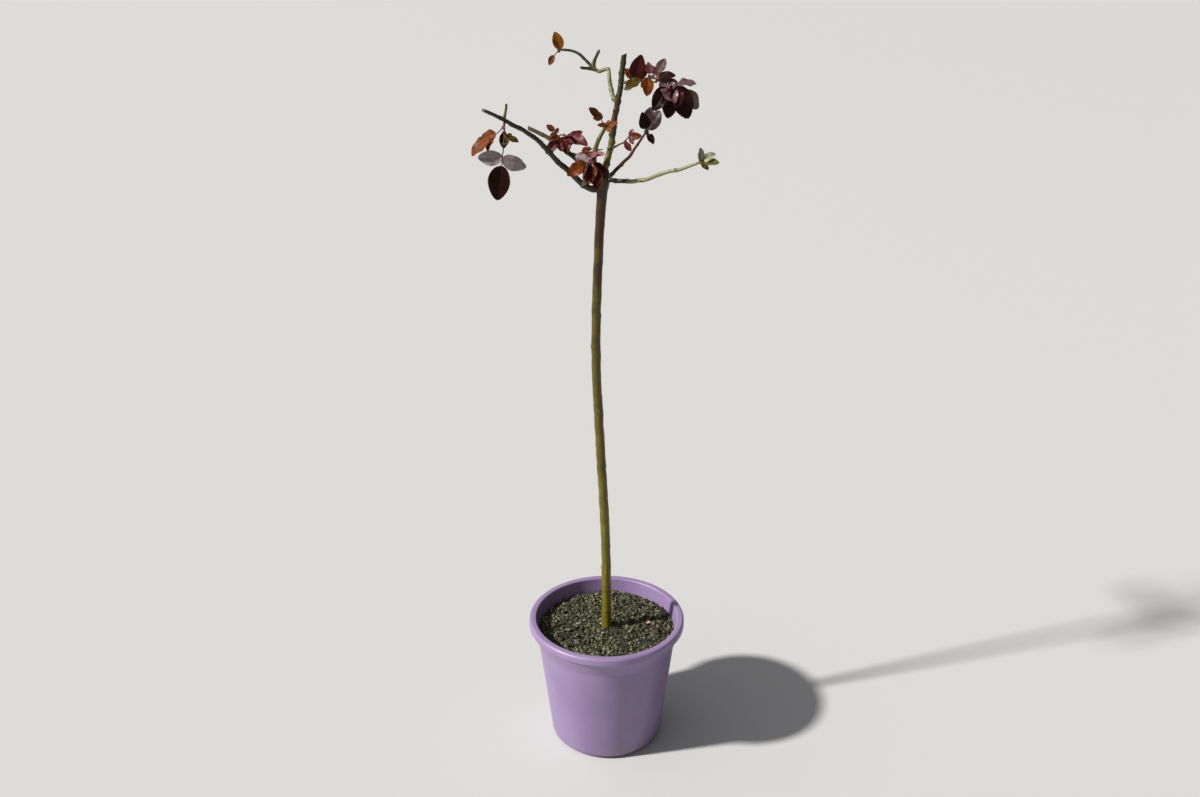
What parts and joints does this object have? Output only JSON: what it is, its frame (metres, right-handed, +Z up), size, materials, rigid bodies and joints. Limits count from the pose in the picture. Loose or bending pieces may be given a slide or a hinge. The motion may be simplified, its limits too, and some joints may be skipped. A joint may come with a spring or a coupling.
{
  "type": "potted standard rose",
  "caption": "Standard rose: one bare stem with a pruned, lightly leafed head, growing in a round tapered nursery pot.",
  "frame": {"origin": "centre of the pot's flat underside", "axes": "+Z up along the plant, +X to the right seen from the front, -Y the front"},
  "size_m": [0.3924, 0.3, 1.3417],
  "materials": {
    "pot_plastic": "lilac nursery pot plastic, satin, a little weathered",
    "soil": "moist potting compost under grey-green granules",
    "stem_bark": "smooth olive-brown rose bark with fine ridges and scars",
    "green_shoot": "pale green young cane, satin",
    "foliage": "dark purple-red rose leaves, semi-gloss",
    "young_foliage": "copper-orange young rose leaves, satin"
  },
  "bodies": {
    "root": {"pot": "pot_plastic", "soil": "soil", "trunk": "stem_bark", "bough_left_front": "stem_bark", "bough_left_back": "stem_bark", "bough_leader": "stem_bark", "bough_second_leader": "stem_bark", "bough_right_rise": "stem_bark", "bough_back": "stem_bark", "spur_left_hanging": "stem_bark", "spur_left_back": "stem_bark", "spur_leader_right": "stem_bark", "spur_leader_low": "stem_bark", "spur_head_front": "stem_bark", "bough_right_low": "green_shoot", "spur_left": "green_shoot", "spur_leader_left": "green_shoot", "foliage_left_hanging": "foliage", "foliage_left_back": "foliage", "foliage_head_front": "foliage", "foliage_top_left": "young_foliage", "foliage_top_right": "foliage", "foliage_right_rise": "foliage", "foliage_leader_low": "young_foliage", "foliage_second_leader": "young_foliage", "foliage_right_low": "foliage", "foliage_back": "foliage"}
  },
  "joints": []
}
